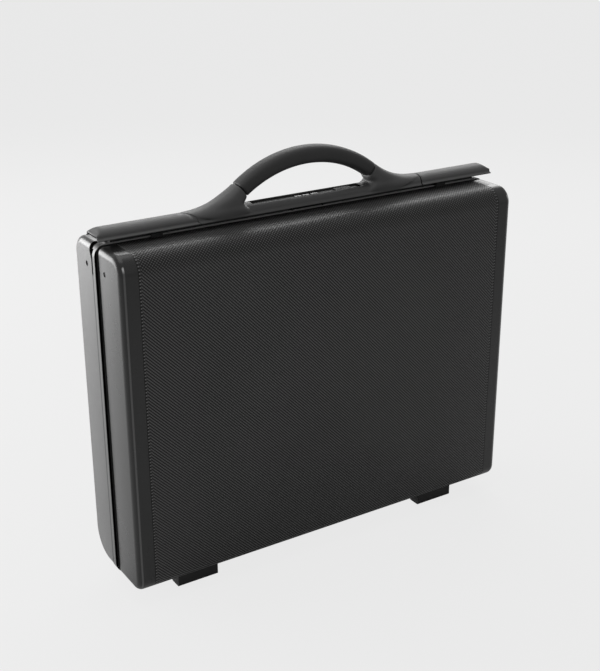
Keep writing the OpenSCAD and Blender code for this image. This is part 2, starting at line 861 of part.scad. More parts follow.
// The left bar crosses to the front side, so both bolts sit far from the levers' axis
module lock_bar_left() {
  x = rocker_x + slide_travel / 2;
  jog_x = -34;
  z = [bar_z, bar_z + bar_t];
  color(steel) {
    block([jog_x, x - 2.9], [bar_y - bar_w / 2, bar_y + bar_w / 2], z);
    block([jog_x, jog_x + 4], [-bar_y - bar_w / 2, bar_y + bar_w / 2], z);
    block([-bar_tip, jog_x + 4], [-bar_y - bar_w / 2, -bar_y + bar_w / 2], z);
    fork(x);
  }
}

module lock_bar_right() {
  x = rocker_x - slide_travel / 2;
  color(steel) {
    block([x + 2.9, bar_tip], [-bar_y - bar_w / 2, -bar_y + bar_w / 2], [bar_z, bar_z + bar_t]);
    mirror([0, 1, 0]) fork(x);
    block([button_x - 4, button_x + 4], [-bar_y, 3], [bar_z, bar_z + bar_t - 0.2]);
  }
}

module lock_slide() {
  color("#8d8f90") {
    block([button_x - 2, button_x + 2], [-2, 2], [bar_z + bar_t - 0.2, panel_z + 0.5]);
    difference() {
      block([button_x - button_l / 2, button_x + button_l / 2], [-4, 4], [panel_z + 0.2, panel_z + 1.6]);
      for (i = [-2 : 2]) translate([button_x + i * 3, 0, panel_z + 1.9]) rotate([90, 0, 0])
        cylinder(r = 0.7, h = 12, center = true);
    }
  }
}

// Latch bracket: a foot on the base's top with three lugs for the pin
module latch_bracket_right() {
  y = [latch_y - latch_knuckle_r, latch_y + latch_knuckle_r];
  color(dark) difference() {
    union() {
      block([lug_x[0] - 2, lug_x[2] + lug_w + 2], [6.4, latch_y + latch_knuckle_r + 0.4],
        [shell_top, shell_top + 1.2]);
      for (x = lug_x) {
        block([x, x + lug_w], y, [shell_top + 1, latch_z]);
        bar_x(latch_knuckle_r, x, x + lug_w, latch_y, latch_z);
      }
    }
    bar_x(latch_pin_r + run_fit, lug_x[0] - 3, lug_x[2] + lug_w + 3, latch_y, latch_z);
  }
}

module latch_bracket_left() {
  mirror([1, 0, 0]) latch_bracket_right();
}

module latch_pin_right() {
  color(steel) bar_x(latch_pin_r, lug_x[0], lug_x[2] + lug_w, latch_y, latch_z);
}

module latch_pin_left() {
  mirror([1, 0, 0]) latch_pin_right();
}

// Side view of a lever, with its outer end rolled down
module lever_side(inset) {
  low = inset > 0 ? rail_bot - 1 : rail_bot;
  x1 = lever_end - lever_end_r;
  translate([mount_hw - slant_left - 2, low]) square([x1 - mount_hw + slant_left + 2, rail_top + 1 - low]);
  intersection() {
    translate([x1, rail_top - lever_end_r]) circle(lever_end_r - inset);
    translate([x1 - 1, low]) square([lever_end_r + 2, 2 * lever_end_r]);
  }
}

module lever_plan(slant) {
  g = mount_hw + joint_gap;
  w = rail_hw + 2;
  polygon([[g, w], [g, -joint_room], [g - slant, -rail_hw], [g - slant, -w], [far, -w], [far, w]]);
}

// Flip-up latch lever, right side
module lever(slant) {
  difference() {
    union() {
      difference() {
        intersection() {
          along_x(lever_end - 100, 100) rail_outline(0);
          along_y(4 * rail_hw, -2 * rail_hw) lever_side(0);
          translate([0, 0, rail_bot]) linear_extrude(far) lever_plan(slant);
        }
        intersection() {
          along_x(far, 0) rail_outline(rail_wall);
          along_y(4 * rail_hw, -2 * rail_hw) lever_side(rail_wall);
        }
        block([lever_end - 9, far], [-far, far], [0, rail_bot + 1.6]);
      }
      bar_x(latch_knuckle_r, lug_x[0] + lug_w, lug_x[2], latch_y, latch_z);
      intersection() {
        along_x(far, 0) rail_outline(rail_wall / 2);
        union() {
          block([strike_x - strike_w / 2 + 1, strike_x + strike_w / 2 - 1],
            [strike_y - strike_t - 2.9, strike_y - strike_t - 0.4], [claw_z, far]);
          difference() {
            block([web_x, web_x + web_t], [-12, 12], [rail_bot + 0.6, far]);
            translate([web_x + web_t / 2, -bar_y, bar_z + bar_t / 2])
              cube([4, bar_w + 0.8, bar_t + 0.8], center = true);
          }
        }
      }
    }
    for (x = lug_x) block([x - clear, x + lug_w + clear], [latch_y - latch_knuckle_r - clear, far],
      [0, latch_z + latch_knuckle_r + 0.4]);
    bar_x(latch_pin_r + run_fit, 100, lever_end, latch_y, latch_z);
  }
}

module latch_lever_right() {
  color("#2a2b2c") lever(slant_right);
}

module latch_lever_left() {
  color("#2a2b2c") mirror([1, 0, 0]) lever(slant_left);
}

// Stud of a lid stay: collar, journal and head, from the frame's leg inwards
module stay_stud(p, link_x) {
  both_sides() {
    bar_x(4, link_x + link_t + 0.2, half_w - leg_in - leg_t, p[0], p[1]);
    bar_x(stud_r, link_x - 0.3, link_x + link_t + 0.3, p[0], p[1]);
    bar_x(4.2, link_x - 1.3, link_x - 0.3, p[0], p[1]);
  }
}

module stay_studs_base() {
  color(steel) stay_stud(stud_b, base_link_x);
}

module stay_studs_lid() {
  color(steel) stay_stud(stud_l, lid_link_x);
}

module link_plate(a, b, x, bore_a, bore_b) {
  len = norm(b - a);
  dir = atan2(b[1] - a[1], b[0] - a[0]);
  along_x(link_t, x) difference() {
    union() {
      translate(a) circle(link_r);
      translate(b) circle(link_r);
      translate(a) rotate(dir) translate([0, -link_r + 0.6]) square([len, 2 * link_r - 1.2]);
    }
    translate(a) circle(bore_a);
    if (bore_b > 0) translate(b) circle(bore_b);
  }
}

module stay_base_link_right() {
  color("#77797b") {
    link_plate(stud_b, stay_j, base_link_x, stud_r + run_fit, 0);
    bar_x(2.2, lid_link_x - 0.5, base_link_x + 0.1, stay_j[0], stay_j[1]);
    bar_x(3.8, lid_link_x - 1.5, lid_link_x - 0.5, stay_j[0], stay_j[1]);
  }
}

module stay_base_link_left() {
  mirror([1, 0, 0]) stay_base_link_right();
}

module stay_lid_link_right() {
  color("#77797b") link_plate(stud_l, stay_j, lid_link_x, stud_r + run_fit, 2.6);
}

module stay_lid_link_left() {
  mirror([1, 0, 0]) stay_lid_link_right();
}

lid_skin();
lid_cap_left();
lid_cap_right();
lid_frame();
lid_lining();
organiser_board();
file_pocket();
card_pockets();
pen_loops();
lid_foot_left();
lid_foot_right();
lid_foot_screws();
lid_cap_rivets();
strike_left();
strike_right();
hinge_lid_leaf_left();
hinge_lid_leaf_right();
stay_studs_lid();
base_skin();
base_cap_left();
base_cap_right();
base_frame();
rim_seal();
base_lining();
base_foot_left();
base_foot_right();
base_foot_screws();
base_cap_rivets();
hinge_base_leaf_left();
hinge_base_leaf_right();
hinge_pin_left();
hinge_pin_right();
stay_studs_base();
rail_plate();
handle_mount();
mount_screws();
handle_core();
handle_grip();
lock_panel();
lock_chassis();
dial_shaft();
dial_spring();
latch_bracket_left();
latch_bracket_right();
dial(-1);  // dial_1
dial(0);  // dial_2
dial(1);  // dial_3
lock_slide();
lock_bar_right();
lock_bar_left();
lock_rocker();
latch_lever_left();
latch_lever_right();
latch_pin_left();
latch_pin_right();
stay_base_link_left();
stay_base_link_right();
stay_lid_link_left();
stay_lid_link_right();
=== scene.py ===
# %% [markdown]
# # A black attache case
#
# The case is a hard shell in two halves with a frame between them. The packed model brings
# every rigid part with its real size, so this lesson is about the surface: what each part is
# made of, how light plays on it, and the few soft or moulded shapes that need a finer mesh.

import math
import bpy
import bmesh
from mathutils import Matrix, Vector, noise


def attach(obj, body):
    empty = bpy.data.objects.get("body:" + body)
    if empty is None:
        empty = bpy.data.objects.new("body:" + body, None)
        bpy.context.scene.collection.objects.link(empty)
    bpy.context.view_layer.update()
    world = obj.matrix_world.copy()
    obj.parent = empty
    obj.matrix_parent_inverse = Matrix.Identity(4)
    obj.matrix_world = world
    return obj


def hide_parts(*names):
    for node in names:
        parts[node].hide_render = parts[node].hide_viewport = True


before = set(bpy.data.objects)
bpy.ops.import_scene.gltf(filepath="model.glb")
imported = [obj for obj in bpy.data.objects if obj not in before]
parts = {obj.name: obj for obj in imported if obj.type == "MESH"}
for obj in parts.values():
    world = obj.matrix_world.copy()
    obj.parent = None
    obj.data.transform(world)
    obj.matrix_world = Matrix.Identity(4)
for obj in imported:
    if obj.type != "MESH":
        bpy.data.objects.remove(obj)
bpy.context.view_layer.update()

# %% [markdown]
# The camera stands a little left of the case and above its top edge, as it did for the
# picture. Its place was worked out from the case's corners. A long lens keeps upright edges
# nearly parallel. The three axes are built by hand, because the picture is rolled by a hair.

# %% Camera
aim = Vector((-0.00668, 0.00141, 0.22828))
away, turn, tilt, roll = 1.2451, math.radians(-32.35), math.radians(21.85), math.radians(-0.24)
back = Vector((math.sin(turn) * math.cos(tilt), -math.cos(turn) * math.cos(tilt), math.sin(tilt)))
flat_right = Vector((math.cos(turn), math.sin(turn), 0))
flat_up = back.cross(flat_right)
right = flat_right * math.cos(roll) + flat_up * math.sin(roll)
up = flat_up * math.cos(roll) - flat_right * math.sin(roll)
camera = bpy.data.objects.new("camera", bpy.data.cameras.new("camera"))
camera.data.lens = 63.92
camera.data.sensor_width = 36
camera.matrix_world = Matrix((right, up, back)).transposed().to_4x4()
camera.location = aim + back * away
bpy.context.scene.collection.objects.link(camera)
bpy.context.scene.camera = camera
bpy.context.scene.view_settings.view_transform = "Standard"
print("camera at", [round(v, 3) for v in camera.location])

# %% [markdown]
# A material is a net of nodes, and a net is slow to read. This small class holds one value on
# its way through the net and lets Python's own signs build the Math nodes, so `1 - mask * 2`
# can be written as it is thought. Two shapes of mask come up again and again: `rise` goes from
# 0 to 1 between two levels, and `near` is 1 in a band round a level and fades at its edges.


# %% A value that does its own sums
class Wire:
    def __init__(self, tree, socket):
        self.tree, self.socket = tree, socket

    def calc(self, operation, *others, clamp=False):
        node = self.tree.nodes.new("ShaderNodeMath")
        node.operation, node.use_clamp = operation, clamp
        for place, value in zip(node.inputs, (self, *others)):
            feed(self.tree, place, value)
        return Wire(self.tree, node.outputs[0])

    def __add__(self, other): return self.calc("ADD", other)
    def __radd__(self, other): return self.calc("ADD", other)
    def __sub__(self, other): return self.calc("SUBTRACT", other)
    def __rsub__(self, other): return (self * -1).calc("ADD", other)
    def __mul__(self, other): return self.calc("MULTIPLY", other)
    def __rmul__(self, other): return self.calc("MULTIPLY", other)
    def __truediv__(self, other): return self.calc("DIVIDE", other)
    def __gt__(self, other): return self.calc("GREATER_THAN", other)
    def __abs__(self): return self.calc("ABSOLUTE")

    def least(self, other): return self.calc("MINIMUM", other)
    def most(self, other): return self.calc("MAXIMUM", other)
    def clamped(self): return self.calc("ADD", 0.0, clamp=True)
    def zigzag(self): return self.calc("PINGPONG", 0.5) * 2
    def rise(self, low, high): return ((self - low) / (high - low)).clamped()
    def near(self, middle, half, fade): return (half - abs(self - middle)).rise(0.0, fade)


def feed(tree, place, value):
    if isinstance(value, Wire):
        tree.links.new(value.socket, place)
    else:
        place.default_value = value


print("a wire can", [name for name in vars(Wire) if not name.startswith("_")])

# %% [markdown]
# Every other kind of node comes from one method: its type, its settings, then what goes into
# its sockets, which is a number, a colour or a wire. The same method serves the materials and
# the world. A socket's name is written with _ for a space, or as i and its number where two
# sockets have the same name.


# %% Nodes by one method
class Net:
    def __init__(self, tree):
        self.tree = tree
        tree.nodes.clear()

    def node(self, kind, settings=None, out=0, **sockets):
        """Adds a node and gives the wire from its output, or one wire each for a tuple."""
        made = self.tree.nodes.new(kind)
        for key, value in (settings or {}).items():
            setattr(made, key, value)
        for key, value in sockets.items():
            name = int(key[1:]) if key[1:].isdigit() else key.replace("_", " ")
            feed(self.tree, made.inputs[name], value)
        if isinstance(out, tuple):
            return [Wire(self.tree, made.outputs[one]) for one in out]
        return Wire(self.tree, made.outputs[out])

    def show(self, shader, kind="ShaderNodeOutputMaterial"):
        """Sends a shader to the net's output, in place of what it showed before."""
        ends = [node for node in self.tree.nodes if node.bl_idname == kind]
        end = ends[0] if ends else self.tree.nodes.new(kind)
        feed(self.tree, end.inputs["Surface"], shader)


def grey(level):
    return (level, level, level)


print("a net can", [name for name in vars(Net) if not name.startswith("_")])

# %% [markdown]
# Each finish is one material with a Principled shader. Values that stay the same all over are
# set straight on the shader. Patterns are measured on the object itself, in metres, so they
# have their real size and need no unwrapping. Two more things are made ready here: a relief
# that catches the light, and a painted crevice shade, a dull black that stays dark from every
# side.


# %% A finish
class Finish(Net):
    def __init__(self, name, color, roughness, **fixed):
        self.material = bpy.data.materials.new(name)
        self.material.use_nodes = True
        super().__init__(self.material.node_tree)
        self.shader = self.node("ShaderNodeBsdfPrincipled", Base_Color=(*color, 1),
                                Roughness=roughness, **fixed)
        self.show(self.shader)
        self.place = self.node("ShaderNodeTexCoord", out="Object")
        self.x, self.y, self.z = self.node("ShaderNodeSeparateXYZ", out=(0, 1, 2),
                                           Vector=self.place)

    def set(self, key, value):
        feed(self.tree, self.shader.socket.node.inputs[key], value)

    def vector(self, x, y, z):
        return self.node("ShaderNodeCombineXYZ", X=x, Y=y, Z=z)

    def cloud(self, scale, detail, rough=0.5, at=None):
        return self.node("ShaderNodeTexNoise", Vector=at or self.place, Scale=scale,
                         Detail=detail, Roughness=rough)

    def blend(self, share, first, second):
        return self.node("ShaderNodeMix", {"data_type": "RGBA"}, out=2, i0=share,
                         i6=(*first, 1), i7=(*second, 1))

    def relief(self, height, depth, soften=0.0, lean=None):
        """Raises and lowers the surface in the light, by depth in metres for a height of 1.
        Soften rounds edges by that radius. Lean is a wire that tips the softened surface towards
        +Y by that share of its length, so a lean that grows along Y crowns a flat side."""
        under = {}
        if soften:
            under["Normal"] = self.node("ShaderNodeBevel", {"samples": 6}, Radius=soften)
        if lean:
            across = self.node("ShaderNodeVectorTransform",
                               {"vector_type": "VECTOR", "convert_from": "OBJECT"},
                               Vector=self.vector(0.0, lean, 0.0))
            tipped = self.node("ShaderNodeVectorMath", {"operation": "ADD"},
                               i0=under["Normal"], i1=across)
            under["Normal"] = self.node("ShaderNodeVectorMath", {"operation": "NORMALIZE"},
                                        i0=tipped)
        self.set("Normal", self.node("ShaderNodeBump", Height=height, Distance=depth,
                                     Strength=1.0, **under))

    def crevice(self, share):
        """Goes over to a dull black where share is 1, as painted shade."""
        dull = self.node("ShaderNodeBsdfPrincipled", Base_Color=(*grey(0.0015), 1),
                         Roughness=1.0, Specular_IOR_Level=0.0)
        self.show(self.node("ShaderNodeMixShader", i0=share, i1=self.shader, i2=dull))

    def paint(self, *names):
        for name in names:
            slots = parts[name].data.materials
            slots.clear()
            slots.append(self.material)


def pair(*names):
    """The left and the right part of each name."""
    return [name + side for name in names for side in ("_left", "_right")]


print("a finish can", [name for name in vars(Finish) if not name.startswith("_")])

# %% [markdown]
# The covering that wraps each half is a black sheet, embossed all over. The pattern has to
# follow the sheet round the bends at the top and the bottom, so the height is measured along
# the sheet: straight up the face, then along the arc, then along the top. An unwrapped texture
# could do the same, but a few sums on the object's own place need no seams.

# %% Distance along the sheet
half_depth, case_top, case_bottom = 0.052, 0.3648, 0.0186
top_bend, lid_low_bend, base_low_bend = 0.017, 0.014, 0.031
middle_height = 0.19


def along_sheet(made, depth, low_bend):
    """Distance along the sheet from the floor's level, for a half whose face is at depth."""
    high, low = case_top - top_bend, case_bottom + low_bend
    near_top, near_bottom = half_depth - top_bend, half_depth - low_bend
    upper = made.z > middle_height
    over = (made.z - high).most(0.0).calc("ARCTAN2", (depth - near_top).most(1e-5))
    under = (low - made.z).most(0.0).calc("ARCTAN2", (depth - near_bottom).most(1e-5))
    flat = made.z.most(low).least(high)
    top_run = (near_top - depth).most(0.0) * upper
    bottom_run = (near_bottom - depth).most(0.0) * (1 - upper)
    return flat + over * top_bend + top_run - under * low_bend - bottom_run


print("sheet from", case_bottom, "to", case_top)

# %% [markdown]
# Two families of slanting lines cross and leave small diamonds, and the falling lines stand
# higher. The hollows are dull and painted dark, as painted shade, and the ridges are painted
# paler, as painted light, with a thin polish from handling, which is a coat. On the bend the
# crossing lines show more. Towards the right and the bottom the contrast gets calmer. The flat
# top is painted paler than the rest, as painted light from above. Beside each end cap the
# sheet ends in a row of small raised points, painted paler as painted glints.

# %% The embossed covering
skin_edge, bend_start = 0.2103, 0.345
pitch, slope, emboss_deep = 0.00331, 1.025, 0.0006
points_from, weave_from = (0.0006, 0.0009), (0.0022, 0.0026)


def embossed(name, side, low_bend):
    made = Finish(name, grey(0.012), 0.5, Specular_IOR_Level=0.04, Coat_Roughness=0.47)
    run = along_sheet(made, made.y * side, low_bend)
    falling = ((run + made.x * slope) / pitch).zigzag()
    rising = ((run - made.x * slope) / pitch).zigzag()
    crossing = run.rise(bend_start, bend_start + 0.01) * 0.65
    to_edge = skin_edge - abs(made.x)
    inside = to_edge.rise(*weave_from)
    rim = to_edge.rise(*points_from) * (1 - inside)
    weave = falling.rise(0.25, 0.8) * (rising.rise(0.2, 0.8) * (0.3 + crossing) + 0.7 - crossing)
    points = (run / pitch).zigzag().rise(0.45, 0.75) * rim
    high = weave * inside + points * 1.4
    slow, fine = made.cloud(9, 4, 0.6), made.cloud(2600, 2, 0.6)
    calm = made.x.rise(-0.1, 0.2) * 0.35 + (0.3 - made.z).rise(0.0, 0.25) * 0.25
    # Painted light: the flat top is painted paler than the rest of the sheet.
    painted_top_light = made.z.rise(case_top - 0.0006, case_top - 0.0002)
    tone = ((high * (1 - calm) + calm * 0.3) * 0.85 + slow * 0.12) * (0.5 + painted_top_light * 0.5)
    # Painted light and shade: ridges and edge points take the pale colour, hollows the dark one.
    made.set("Base Color", made.blend(tone.clamped(), grey(0.0035), (0.105, 0.105, 0.104)))
    made.set("Roughness", 0.46 + slow * 0.12 + fine * 0.05)
    made.set("Coat Weight", (high * 0.75 + 0.1 + slow * 0.1).clamped())
    made.relief(high + fine * 0.05, emboss_deep)
    return made


embossed("lid_covering", -1, lid_low_bend).paint("lid_skin")
embossed("base_covering", 1, base_low_bend).paint("base_skin")
print("diamond pitch", pitch)

# %% [markdown]
# Most of the black parts are moulded plastic with a very fine spark-eroded grain. The grain
# breaks the highlight up, while a slow cloud in the roughness keeps large areas from looking
# computed, and a few rubbed patches are a little paler. Edges get a small rounding in the
# shading alone, which is cheaper than a bevel on every part and looks the same from a distance.


# %% Moulded plastic
def moulded(name, shade, roughness, grain=0.00002, soften=0.0005, lean=None, gloss=0.36):
    """Lean is the lean at the seam and how much it grows with each metre along Y."""
    made = Finish(name, grey(shade), roughness, Specular_IOR_Level=gloss)
    slow = made.cloud(14, 3, 0.55)
    grit = made.cloud(3200, 2, 0.7)
    rub = made.cloud(90, 5, 0.65).rise(0.56, 0.74)
    tone = (slow * 0.6 + rub * 0.25).clamped()
    made.set("Base Color", made.blend(tone, grey(shade * 0.8), grey(shade * 1.35)))
    made.set("Roughness", roughness - 0.05 + slow * 0.1 + grit * 0.05 - rub * 0.04)
    made.relief(grit, grain, soften, made.y * lean[1] + lean[0] if lean else None)
    return made


# Painted shade: the packed lever inside the shells is near black and dull, for the hollow and joint
# line.
lever_core = moulded("lever_core_moulding", 0.003, 0.8, gloss=0.1)
lever_core.paint(*pair("latch_lever"))
levers = moulded("lever_moulding", 0.042, 0.58)
mount = moulded("mount_moulding", 0.034, 0.58)
mount.paint("handle_mount")
rubber = moulded("foot_rubber", 0.008, 0.6, 0.00006, 0.0008)
rubber.paint(*pair("lid_foot", "base_foot"), "rim_seal")
print("plastic", levers.material.name, "and", mount.material.name)

# %% [markdown]
# The end caps are glossier than the rest. Their sides are slightly crowned, so they get darker
# from the back to the front. The lid caps' front roll has a thin painted highlight line,
# brightest at its upper end. Behind the frame's upper corner the base cap drops away into a
# crevice. A modelled groove would need the cap's own mesh, so a mask on the cap's place paints
# the crevice's shade as a dull black instead.

# %% End caps
roll_x, roll_y, spot_z = 0.2236, -0.0485, 0.3575
corner_z, corner_tall, corner_lean = 0.335, 0.021, 0.38
cap_end_x, crevice_y = 0.2135, 0.0066

lid_caps = moulded("lid_cap_moulding", 0.008, 0.27, lean=(0.015, 3.2), gloss=0.31)
lid_caps.paint(*pair("lid_cap"))
# Painted highlight: a thin pale line on the lid caps' front roll, with a brighter spot at its top.
painted_highlight_line = abs(lid_caps.x).near(roll_x, 0.0011, 0.0006) * (roll_y - lid_caps.y).rise(0.0, 0.001)
painted_highlight_spot = lid_caps.z.near(spot_z, 0.006, 0.004) * painted_highlight_line
painted_highlight = (painted_highlight_line * 0.12 + painted_highlight_spot * 0.8).clamped()
lid_caps.set("Base Color", lid_caps.blend(painted_highlight, grey(0.0085), grey(0.42)))

base_caps = moulded("base_cap_moulding", 0.009, 0.3, lean=(0.015, 2.5), gloss=0.34)
base_caps.paint(*pair("base_cap"))
# Painted shade: behind the frame's upper corner the base cap goes over to a dull black.
reach = crevice_y + (base_caps.z - corner_z).most(0.0).least(corner_tall) * corner_lean
beside_frame = (reach - base_caps.y).rise(0.0, 0.0006)
upper_corner = (base_caps.z.rise(corner_z, corner_z + 0.002)
                * abs(base_caps.x).rise(cap_end_x, cap_end_x + 0.001))
base_caps.crevice(beside_frame * upper_corner)
print("worn line at", roll_x, "crevice above", corner_z)

# %% [markdown]
# The frame is an aluminium section with a powder coat: a slightly orange-peel skin with a soft
# sheen. The top front edge is painted paler, as a painted highlight. On the ends the section
# has a rib between two grooves that are painted dull black, as painted shade. The lid's frame
# and the rail plate are painted near black and dull, as painted shadow in the seam and under
# the rail.

# %% Powder-coated frame
pale_edge_y, frame_end_x = -0.0023, 0.2278
rear_groove_y, front_groove_y, groove_fade = 0.0034, -0.0008, 0.0008


def coated(name, shade, roughness, edge_highlight=0.0):
    made = Finish(name, grey(shade), roughness, Specular_IOR_Level=0.4)
    peel = made.cloud(900, 2)
    slow = made.cloud(20, 3, 0.6)
    # Painted highlight: the top front edge is painted paler.
    edge = made.z.rise(case_top, case_top + 0.0003) * made.y.near(pale_edge_y, 0.0012, 0.0006)
    tone = (slow * 0.07 + edge * edge_highlight).clamped()
    made.set("Base Color", made.blend(tone, grey(shade * 0.8), grey(shade * 24)))
    made.set("Roughness", roughness - 0.06 + slow * 0.12)
    made.relief(peel, 0.00003, 0.0004)
    return made


frame_coat = coated("frame_coat", 0.014, 0.36, 0.8)
frame_coat.paint("base_frame")
# Painted shade: two dull black grooves near each end of the frame.
at_end = abs(frame_coat.x).rise(frame_end_x, frame_end_x + 0.0004)
high_up = frame_coat.z.rise(corner_z, corner_z + 0.002)
rear = (frame_coat.y - (rear_groove_y - high_up * 0.0006)).rise(0.0, groove_fade)
front = (front_groove_y - frame_coat.y).rise(0.0, groove_fade)
frame_coat.crevice((rear * (0.45 + high_up * 0.55) + front).clamped() * at_end)
# Painted shadow: the lid's frame and the rail plate are painted near black and dull.
coated("seam_shadow_coat", 0.003, 0.85).paint("lid_frame")
coated("plate_shadow_coat", 0.004, 0.7).paint("rail_plate")
print("grooves beyond", frame_end_x)

# %% [markdown]
# The pins, bars, links, studs and foot screws are bare steel. The strikes, the hinge leaves and
# the rivets have a dull dark plating, and what shows through the gap under the rail gets the
# same near-black finish, as painted shade in that gap. Brushing runs along the case, so the
# grain is a noise that is stretched along X, and it feeds roughness and a shallow relief.


# %% Steel
def steel(name, shade, roughness, metallic):
    made = Finish(name, shade, roughness, Metallic=metallic, IOR=1.5)
    hair = made.cloud(60, 4, 0.7, at=made.vector(made.x * 0.6, made.y * 24, made.z * 24))
    age = made.cloud(120, 4, 0.6)
    dim = tuple(v * 0.72 for v in shade)
    made.set("Base Color", made.blend((age * 0.5 + hair * 0.5).clamped(), dim, shade))
    made.set("Roughness", roughness - 0.1 + hair * 0.2)
    made.relief(hair, 0.00001, 0.0002)
    return made


bright = steel("bright_steel", (0.56, 0.56, 0.57), 0.34, 1.0)
bright.paint("lid_foot_screws", "base_foot_screws", "stay_studs_lid", "stay_studs_base",
             "handle_core", "dial_shaft", "lock_rocker",
             *pair("hinge_pin", "lock_bar", "latch_pin", "stay_base_link", "stay_lid_link"))
# Painted shade: parts seen through the gap under the rail share this near-black finish.
plating_and_gap_shade = steel("dark_plating_and_gap_shade", (0.004, 0.004, 0.0043), 0.75, 0.0)
plating_and_gap_shade.paint("lock_chassis", "mount_screws", "dial_spring", "lid_cap_rivets", "base_cap_rivets",
             *pair("strike", "hinge_base_leaf", "hinge_lid_leaf", "latch_bracket"))
print("steel", bright.material.name, "and", plating_and_gap_shade.material.name)

# %% [markdown]
# The inside is lined with woven cloth glued to thin board. A weave is two sets of threads that
# take turns on top. Each set is a zigzag across its own direction, and a checker of the two
# decides which one shows.


# %% Woven cloth
def woven(name, shade, thread_width):
    made = Finish(name, shade, 0.9, IOR=1.4, Sheen_Weight=0.25, Sheen_Roughness=0.5)
    across = (made.x + made.y * 0.5) / thread_width
    upward = (made.z + made.y * 0.5) / thread_width
    checker = (across * 0.5).calc("FLOOR") + (upward * 0.5).calc("FLOOR")
    warp_on_top = checker.calc("PINGPONG", 1.0)
    over = across.zigzag() * warp_on_top + upward.zigzag() * (1 - warp_on_top)
    slub = made.cloud(700, 3, 0.7)
    slow = made.cloud(12, 3, 0.6)
    dim = tuple(v * 0.55 for v in shade)
    tone = (over * 0.55 + slub * 0.25 + slow * 0.25).clamped()
    made.set("Base Color", made.blend(tone, dim, shade))
    made.set("Roughness", 0.82 + slub * 0.12)
    made.relief(over + slub * 0.4, thread_width * 0.35)
    return made


lining_cloth = woven("lining_cloth", (0.17, 0.165, 0.155), 0.0007)
lining_cloth.paint("lid_lining", "base_lining")
pocket_cloth = woven("pocket_cloth", (0.055, 0.053, 0.051), 0.0005)
pocket_cloth.paint("file_pocket", "card_pockets", "pen_loops")
board_cloth = woven("board_cloth", (0.12, 0.115, 0.11), 0.0006)
board_cloth.paint("organiser_board")
print("cloths", lining_cloth.material.name, pocket_cloth.material.name)

# %% [markdown]
# The grip is a soft rubber-like sleeve over the mount's steel strap, with a coarser grain than
# the plastic. The dials are dark moulded wheels with pale figures. The panel round them and
# the slide beside them are plastic like the mount's, but duller and painted darker, as painted
# shade in the recess.

# %% Grip, dials and lock
# Painted shade: the panel and the slide are painted darker than the mount, for the recess.
panel = moulded("lock_panel_moulding", 0.022, 0.62, gloss=0.12)
panel.paint("lock_panel")
slide = moulded("slide_moulding", 0.02, 0.62, gloss=0.1)
slide.paint("lock_slide")
grip = moulded("grip_rubber", 0.021, 0.6, 0.00005, 0.0004, gloss=0.22)
grip.paint("handle_grip")
wheels = moulded("dial_moulding", 0.02, 0.4, gloss=0.3)
wheels.paint("dial_1", "dial_2", "dial_3")
figures = moulded("figure_paint", 0.3, 0.5)
print("dials", wheels.material.name, "figures", figures.material.name)

# %% [markdown]
# The shapes that follow are worked out point by point. Three small helpers carry most of it:
# a mix of two numbers, an even start and stop, and a curve with four handles.


# %% Mixes and curves
def mix(a, b, t):
    return a + (b - a) * t


def ease(t):
    t = max(0.0, min(1.0, t))
    return t * t * (3 - 2 * t)


def curve(a, b, c, d, steps):
    made = []
    for i in range(steps + 1):
        t, u = i / steps, 1 - i / steps
        made.append(tuple(u ** 3 * p + 3 * u * u * t * q + 3 * u * t * t * r + t ** 3 * w
                          for p, q, r, w in zip(a, b, c, d)))
    return made


print("halfway", mix(2, 4, 0.5), ease(0.5))

# %% [markdown]
# The rail along the top has one section: a dome over a flared foot. The mount and the levers
# share it, so the section is written once, with an inset for the hollow inside.

# %% Rail section
rail_low, rail_high, dome_half = 0.3721, 0.3814, 0.0114
rail_half, mount_half = 0.014, 0.138
waist_up, toe_up = 0.0032, 0.0007


def rail_section(inset=0.0, low=rail_low):
    """The outline in Y and Z, from the rear's lower edge over the dome to the front's."""
    top = (0.0, rail_high - inset)
    waist = (dome_half - inset, rail_low + waist_up - inset * 0.4)
    toe = (rail_half - inset, rail_low + toe_up - inset * 0.6)
    dome = curve(top, (waist[0] * 0.62, top[1]), (waist[0], mix(waist[1], top[1], 0.5)),
                 waist, 18)
    foot = curve(waist, (waist[0], mix(waist[1], toe[1], 0.6)),
                 (mix(waist[0], toe[0], 0.5), toe[1] + 0.0004), toe, 8)
    side = dome + foot[1:] + [(toe[0], low)]
    return list(reversed(side)) + [(-y, z) for y, z in side[1:]]


print("rail section of", len(rail_section()), "points")

# %% [markdown]
# A row of rings becomes a closed body, and Booleans combine bodies. The result of a modifier is
# kept as a plain mesh at once, so that the next step starts from what is really there.


# %% From rings to a body
def piece_from(mesh, name):
    """Puts a finished bmesh into the scene as an object."""
    made = bpy.data.meshes.new(name)
    mesh.to_mesh(made)
    mesh.free()
    piece = bpy.data.objects.new(name, made)
    bpy.context.scene.collection.objects.link(piece)
    return piece


def loft(name, rings):
    """A closed body through rings of points, all rings with the same count."""
    mesh = bmesh.new()
    rows = [[mesh.verts.new(p) for p in ring] for ring in rings]
    for a, b in zip(rows, rows[1:]):
        for i in range(len(a)):
            j = (i + 1) % len(a)
            mesh.faces.new((a[i], a[j], b[j], b[i]))
    mesh.faces.new(list(reversed(rows[0])))
    mesh.faces.new(rows[-1])
    bmesh.ops.recalc_face_normals(mesh, faces=mesh.faces)
    return piece_from(mesh, name)


def body_along(section, x0, x1, steps=2):
    return [[(mix(x0, x1, i / steps), y, z) for y, z in section] for i in range(steps + 1)]


def settle(piece):
    """Turns a piece's modifiers into its real mesh."""
    depsgraph = bpy.context.evaluated_depsgraph_get()
    made = bpy.data.meshes.new_from_object(piece.evaluated_get(depsgraph))
    piece.modifiers.clear()
    piece.data = made
    return piece


